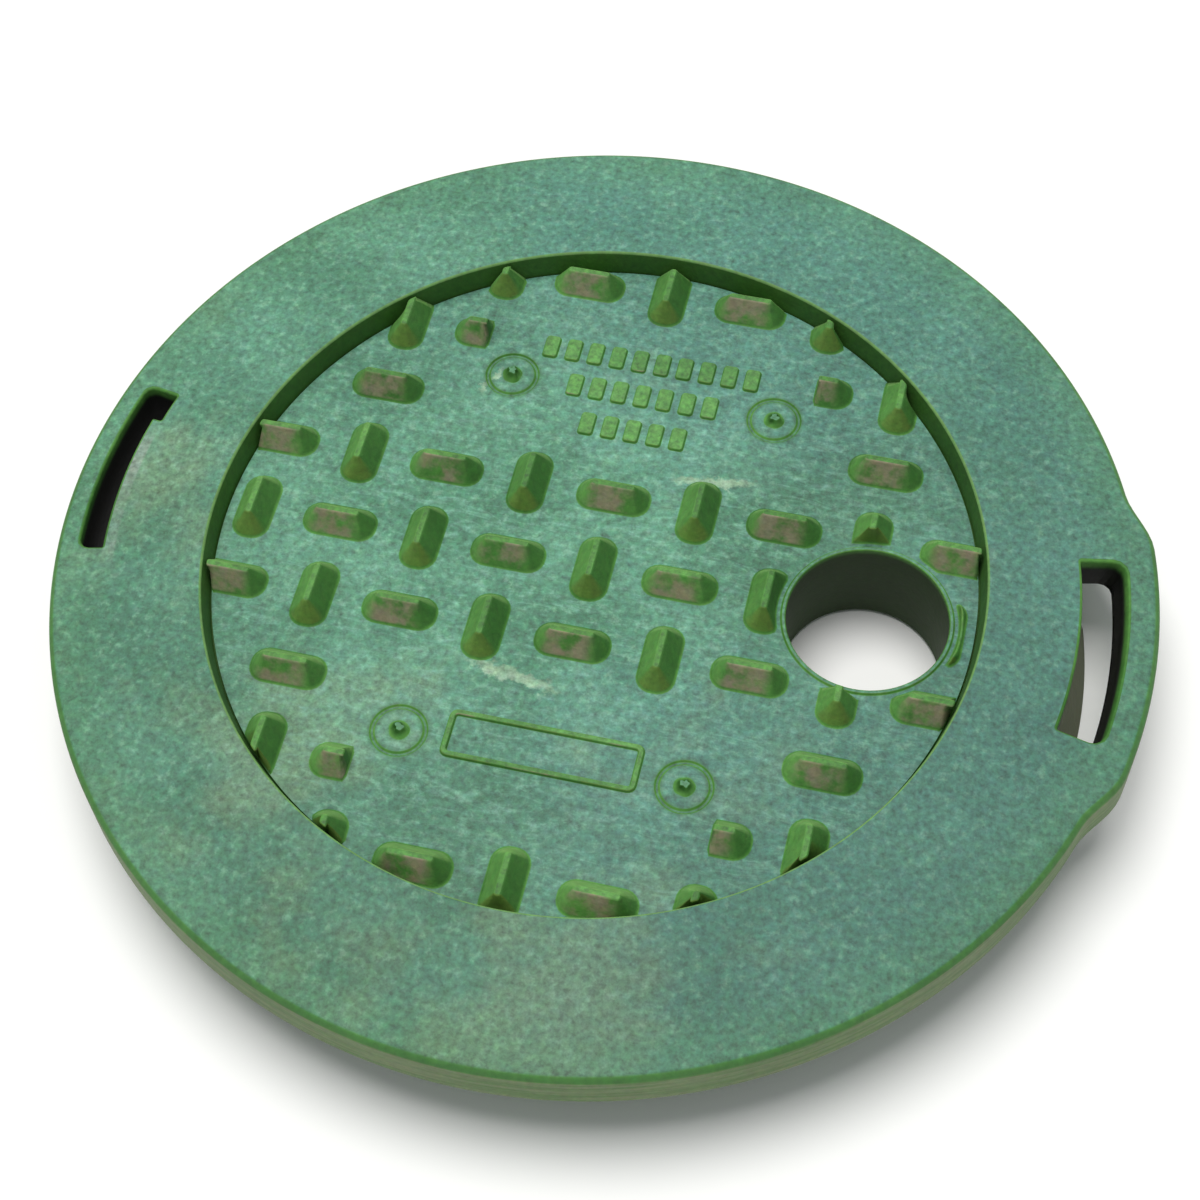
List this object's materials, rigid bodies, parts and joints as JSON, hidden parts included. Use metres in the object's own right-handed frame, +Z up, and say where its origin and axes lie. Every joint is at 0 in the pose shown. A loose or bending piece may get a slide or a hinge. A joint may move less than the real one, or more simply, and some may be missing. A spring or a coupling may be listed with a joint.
{
  "type": "valve box cover",
  "caption": "Round overlapping cover for an in-ground valve box: a wide rim ring with two fixing slots and a studded lid that lifts out by its finger hole.",
  "frame": {"origin": "the cover's axis at the surface that its skirt rests on, at the mouth of the skirt", "axes": "+Z up through the studded face; +X along the stud rows, through both fixing slots, towards the lug and the finger hole"},
  "size_m": [0.274, 0.27, 0.035],
  "materials": {
    "ring_plastic": "weathered green moulding with a fine speckle",
    "lid_plastic": "weathered green moulding with brushed flow streaks"
  },
  "bodies": {
    "ring": {"overlap_ring": "ring_plastic"},
    "lid": {"tread_lid": "lid_plastic"}
  },
  "joints": [
    {"name": "lid_lift", "type": "slide", "parent": "ring", "child": "lid", "axis": [0, 0, 1], "range_m": [0, 0.045]}
  ]
}
